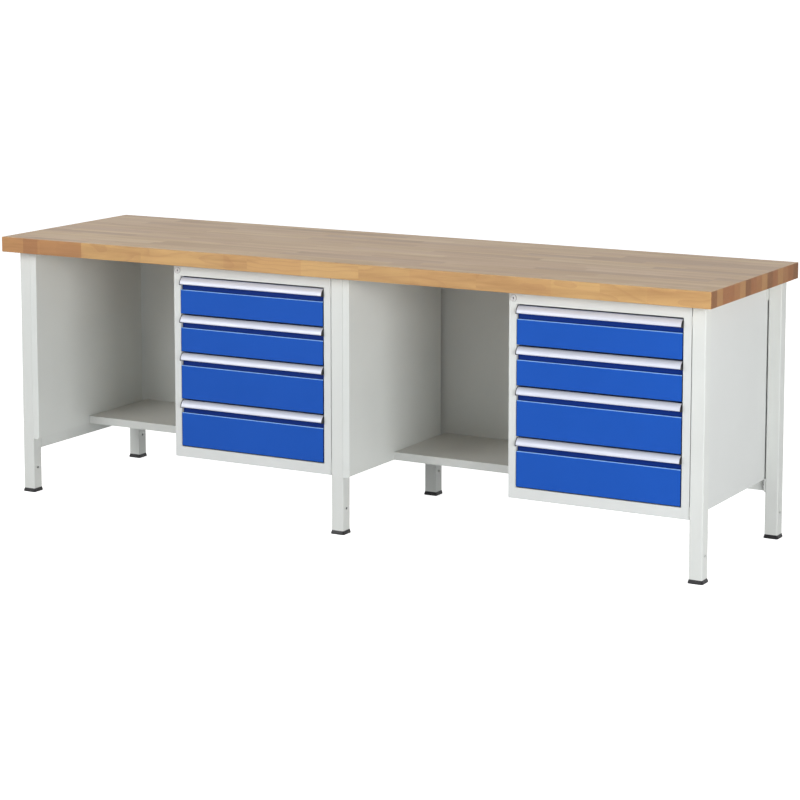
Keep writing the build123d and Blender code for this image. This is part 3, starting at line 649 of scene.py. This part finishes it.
MATERIALS = {
    "beech": make_beech(),
    "frame_grey": make_powder_coat("frame_powder_coat", (0.635, 0.655, 0.635)),
    "panel_grey": make_powder_coat("panel_powder_coat", (0.65, 0.675, 0.655), 0.45),
    "shelf_grey": make_powder_coat("shelf_powder_coat", (0.64, 0.66, 0.64), 0.45),
    "cabinet_grey": make_powder_coat("cabinet_powder_coat", (0.63, 0.65, 0.64)),
    # the blue fronts get a painted highlight on the ledge bend and painted shade in the recess and the gap
    "front_blue": make_powder_coat(
        "blue_powder_coat", FRONT_BLUE, peel=0.00002, mottle=0.04, paint_light_and_shade=paint_front_light_and_shade, gloss=FRONT_GLOSS
    ),
    "tray_grey": make_powder_coat("tray_powder_coat", (0.55, 0.57, 0.56), 0.45),
    "grip_aluminium": make_brushed_metal(
        "anodised_aluminium", (0.68, 0.71, 0.81), 0.5, direction=0, metallic=0.25
    ),
    "rail_steel": make_zinc("zinc_plated_steel", (0.66, 0.67, 0.68), 0.36),
    "bolt_steel": make_zinc("bolt_steel_finish", (0.62, 0.62, 0.62), 0.34),
    "lock_chrome": make_lock_chrome(),
    "foot_black": make_plastic("black_plastic", (0.016, 0.016, 0.018), 0.45),
}
CAP_BLACK = make_plastic("cap_plastic", (0.012, 0.012, 0.014), 0.4)


# ---------------------------------------------------------------- mesh tools

def extruded(outline, x_low, x_high):
    """A closed solid with a (y, z) outline, from one x to the other."""
    shape = bmesh.new()
    rings = [[shape.verts.new((x, point.x, point.y)) for point in outline] for x in (x_low, x_high)]
    count = len(outline)
    for index in range(count):
        following = (index + 1) % count
        shape.faces.new((rings[0][index], rings[1][index], rings[1][following], rings[0][following]))
    shape.faces.new(rings[0])
    shape.faces.new(rings[1])
    bmesh.ops.recalc_face_normals(shape, faces=shape.faces)
    return shape


def sharp_edges(shape, least):
    """The edges whose faces meet at more than an angle in degrees."""
    least = math.radians(least)
    return [edge for edge in shape.edges if edge.is_manifold and edge.calc_face_angle() > least]


def add_piece(shape, name, node, material):
    """Turns a bmesh into a smooth-shaded piece that stands for a CAD node and rides on its body."""
    mesh = bpy.data.meshes.new(name)
    shape.to_mesh(mesh)
    shape.free()
    mesh.shade_smooth()
    mesh.materials.append(material)
    piece = bpy.data.objects.new(name, mesh)
    scene.collection.objects.link(piece)
    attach(piece, BODY_OF_NODE[node])
    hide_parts(node)
    return piece


FLAT_WEIGHT = 100


def keep_flats_flat(piece):
    """Weighted normals, so that a small bevel shades smoothly beside a large flat face."""
    weighted = piece.modifiers.new("weighted_normals", "WEIGHTED_NORMAL")
    weighted.keep_sharp = False
    weighted.weight = FLAT_WEIGHT


# ---------------------------------------------------------------- CAD nodes kept, with softened edges

EDGE_WIDTH = {
    "frame_grey": 0.0006, "panel_grey": 0.0006, "shelf_grey": 0.0006, "cabinet_grey": 0.0006,
    "tray_grey": 0.0005, "rail_steel": 0.0004, "bolt_steel": 0.0004, "lock_chrome": 0.0004,
    "foot_black": 0.0008,
}
JOIN_DISTANCE = 0.000005
PLANE_ANGLE = math.radians(0.5)
SHARP_ANGLE = math.radians(35)
EDGE_SEGMENTS = 2
TUBE_CORNER = 0.003
TUBE_SEGMENTS = 4
TUBE_EDGE_LENGTH = 0.2
TUBE_EDGE_ANGLE = 1.0


def make_geometry_group(name):
    """An empty geometry node group, with its source and its target node."""
    group = bpy.data.node_groups.new(name, "GeometryNodeTree")
    for direction in ("INPUT", "OUTPUT"):
        group.interface.new_socket("Geometry", in_out=direction, socket_type="NodeSocketGeometry")
    return group, group.nodes.new("NodeGroupInput"), group.nodes.new("NodeGroupOutput")


def make_clean_group():
    """Geometry nodes that join split vertices and clear the imported normals."""
    group, source, target = make_geometry_group("joined_and_smooth")
    joined = group.nodes.new("GeometryNodeMergeByDistance")
    joined.inputs["Distance"].default_value = JOIN_DISTANCE
    smooth = group.nodes.new("GeometryNodeSetMeshNormal")
    smooth.mode = "SHARPNESS"
    smooth.inputs["Remove Custom"].default_value = True
    group.links.new(source.outputs[0], joined.inputs[0])
    group.links.new(joined.outputs[0], smooth.inputs[0])
    group.links.new(smooth.outputs[0], target.inputs[0])
    return group


def make_corner_group():
    """Geometry nodes that give a tube's long sharp edges a bevel weight of one."""
    group, source, target = make_geometry_group("tube_corners")

    def maths(operation, a, b):
        made = group.nodes.new("ShaderNodeMath")
        made.operation = operation
        for socket, value in zip(made.inputs, (a, b)):
            if isinstance(value, float):
                socket.default_value = value
            else:
                group.links.new(value, socket)
        return made.outputs[0]

    ends = group.nodes.new("GeometryNodeInputMeshEdgeVertices")
    length = group.nodes.new("ShaderNodeVectorMath")
    length.operation = "DISTANCE"
    group.links.new(ends.outputs["Position 1"], length.inputs[0])
    group.links.new(ends.outputs["Position 2"], length.inputs[1])
    angle = group.nodes.new("GeometryNodeInputMeshEdgeAngle")
    is_long = maths("GREATER_THAN", length.outputs["Value"], TUBE_EDGE_LENGTH)
    is_sharp = maths("GREATER_THAN", angle.outputs["Unsigned Angle"], TUBE_EDGE_ANGLE)
    store = group.nodes.new("GeometryNodeStoreNamedAttribute")
    store.domain = "EDGE"
    store.data_type = "FLOAT"
    store.inputs["Name"].default_value = "bevel_weight_edge"
    group.links.new(source.outputs[0], store.inputs["Geometry"])
    group.links.new(maths("MULTIPLY", is_long, is_sharp), store.inputs["Value"])
    group.links.new(store.outputs[0], target.inputs[0])
    return group


def round_tube(node, corner_group):
    """Rounds the long corners of a leg's square tube."""
    marked = node.modifiers.new("corner_weights", "NODES")
    marked.node_group = corner_group
    corners = node.modifiers.new("tube_corners", "BEVEL")
    corners.width = TUBE_CORNER
    corners.segments = TUBE_SEGMENTS
    corners.limit_method = "WEIGHT"


def soften(node, width, clean_group, corner_group):
    """Rounds a CAD node's sharp edges with modifiers, and with a corner group its long corners too."""
    clean = node.modifiers.new("joined", "NODES")
    clean.node_group = clean_group
    flat = node.modifiers.new("one_face_per_plane", "DECIMATE")
    flat.decimate_type = "DISSOLVE"
    flat.angle_limit = PLANE_ANGLE
    if corner_group:
        round_tube(node, corner_group)
    bevel = node.modifiers.new("soft_edges", "BEVEL")
    bevel.width = width
    bevel.segments = EDGE_SEGMENTS
    bevel.limit_method = "ANGLE"
    bevel.angle_limit = SHARP_ANGLE
    bevel.miter_outer = "MITER_ARC"
    keep_flats_flat(node)


# ---------------------------------------------------------------- drawer fronts and grip strips

SHEET = 0.0015
BEND = 0.003
BEND_SEGMENTS = 5
ROUND_PROFILE = 0.5
PAN_FOLD_ANGLE = 30.0
HOOD_HEIGHT = 0.022
RECESS_HEIGHT = 0.0175
HOOD_LIP = 0.008
HOOD_TOP_BACK = 0.009
GRIP_WALL = 0.002
LIP_ROLL = 0.0032
STRIP_EDGE = 0.0004
CAP_THICKNESS = 0.0025
CAP_GAP = 0.0001
CAP_EDGE = 0.0005
BAR_FOLD_ANGLE = 40.0
ARC_STEPS = 6


def bend(shape, edges, width, segments):
    """Rounds some edges of a shape."""
    bmesh.ops.bevel(
        shape, geom=edges, offset=width, segments=segments, profile=ROUND_PROFILE, affect="EDGES"
    )


def make_front(drawer):
    """A folded pan with round bends and a finger recess under the grip."""
    node = f"{drawer}_front"
    low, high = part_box(node)
    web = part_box(f"{drawer}_grip")[1].y
    ledge = high.z - HOOD_HEIGHT - RECESS_HEIGHT
    corners = ((low.y, low.z), (low.y, ledge), (web, ledge), (web, high.z), (high.y, high.z), (high.y, low.z))
    shape = extruded([Vector(corner) for corner in corners], low.x, high.x)

    def at_back(part):
        return all(abs(vert.co.y - high.y) < SHEET / 10 for vert in part.verts)

    folds = [edge for edge in sharp_edges(shape, PAN_FOLD_ANGLE) if not at_back(edge)]
    bend(shape, folds, BEND, BEND_SEGMENTS)
    back = [face for face in shape.faces if at_back(face)]
    bmesh.ops.delete(shape, geom=back, context="FACES")
    piece = add_piece(shape, f"{node}_pan", node, MATERIALS["front_blue"])
    wall = piece.modifiers.new("sheet", "SOLIDIFY")
    wall.thickness = SHEET
    wall.offset = -1
    wall.use_even_offset = True
    keep_flats_flat(piece)


def hood_outline(low, high, hollow):
    """The grip's (y, z) section: a hollow hood with a rolled lip for the strip, a plain solid for its cap."""
    reach = HOOD_TOP_BACK + HOOD_LIP
    radius = (reach**2 + HOOD_HEIGHT**2) / (2 * reach)
    centre = Vector((low.y + radius, high.z - HOOD_HEIGHT))

    def arc(middle, arc_radius, start, end, steps):
        angles = [start + (end - start) * step / steps for step in range(steps + 1)]
        return [middle + Vector((-math.cos(a), math.sin(a))) * arc_radius for a in angles]

    sweep = math.asin(HOOD_HEIGHT / radius)
    if not hollow:
        outer = arc(centre, radius, 0, sweep, 3 * ARC_STEPS)
        return [*outer, Vector((high.y, high.z)), Vector((high.y, low.z)), Vector((low.y, low.z))]
    meet = math.asin(LIP_ROLL / (radius - LIP_ROLL))
    roll_centre = centre + Vector((-math.cos(meet), math.sin(meet))) * (radius - LIP_ROLL)
    outer = arc(centre, radius, meet, sweep, 3 * ARC_STEPS)
    lip = arc(roll_centre, LIP_ROLL, -math.pi / 2, meet, ARC_STEPS)[:-1]
    inner_sweep = math.acos((centre.x - outer[-1].x) / (radius - GRIP_WALL))
    inner = arc(centre, radius - GRIP_WALL, inner_sweep, meet, 3 * ARC_STEPS)
    inner_lip = arc(roll_centre, LIP_ROLL - GRIP_WALL, meet, -math.pi / 2, ARC_STEPS)[1:]
    back = [Vector((high.y, high.z)), Vector((high.y, low.z)), Vector((outer[-1].x, low.z))]
    return [*lip, *outer, *back, *inner, *inner_lip]


def soft_bar(outline, x_low, x_high, edge):
    """A closed solid with a (y, z) outline and small round edges."""
    shape = extruded(outline, x_low, x_high)
    bend(shape, sharp_edges(shape, BAR_FOLD_ANGLE), edge, EDGE_SEGMENTS)
    return shape


def make_grip(drawer):
    """The drawn aluminium strip, and a black cap at each end."""
    node = f"{drawer}_grip"
    low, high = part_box(node)
    inset = CAP_THICKNESS + CAP_GAP
    strip = soft_bar(hood_outline(low, high, True), low.x + inset, high.x - inset, STRIP_EDGE)
    keep_flats_flat(add_piece(strip, f"{node}_strip", node, MATERIALS["grip_aluminium"]))
    for end, x_low in (("left", low.x), ("right", high.x - CAP_THICKNESS)):
        cap = soft_bar(hood_outline(low, high, False), x_low, x_low + CAP_THICKNESS, CAP_EDGE)
        keep_flats_flat(add_piece(cap, f"{node}_{end}_cap", node, CAP_BLACK))


# ---------------------------------------------------------------- build

for drawer in DRAWERS:
    make_front(drawer)
    make_grip(drawer)

clean_group = make_clean_group()
corner_group = make_corner_group()
for name, node in nodes.items():
    slot = SLOT_OF_NODE[name]
    node.data.materials[0] = MATERIALS[slot]
    if not node.hide_render and slot in EDGE_WIDTH:
        soften(node, EDGE_WIDTH[slot], clean_group, corner_group if name.endswith("_leg") else None)

scene.view_settings.view_transform = "Standard"
